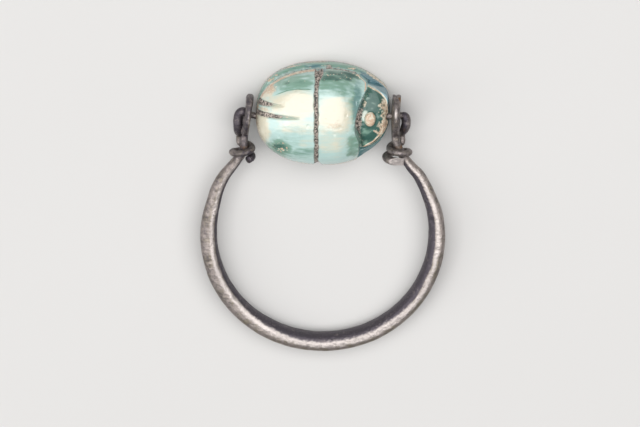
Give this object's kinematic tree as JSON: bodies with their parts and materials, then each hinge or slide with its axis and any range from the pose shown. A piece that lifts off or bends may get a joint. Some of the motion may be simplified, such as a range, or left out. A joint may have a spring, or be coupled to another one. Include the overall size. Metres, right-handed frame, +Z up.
{
  "type": "scarab amulet",
  "caption": "Glazed scarab amulet that turns on the wire pin of a silver finger ring, lying on its side.",
  "frame": {"origin": "on the surface it lies on, below the middle of the whole ring's box", "axes": "+X along the pin towards the beetle's head, +Y from the hoop's base to the scarab, +Z up out of the scarab's back"},
  "size_m": [0.0247, 0.0298, 0.0062],
  "materials": {
    "glaze": "gloss",
    "silver": "satin"
  },
  "bodies": {
    "ring": {"hoop": "silver", "pin_wire": "silver"},
    "scarab": {"scarab": "glaze"}
  },
  "joints": [
    {"name": "scarab_swivel", "type": "hinge", "parent": "ring", "child": "scarab", "pos_m": [0, 0.00993, 0.00265], "axis": [1, 0, 0], "continuous": true}
  ]
}
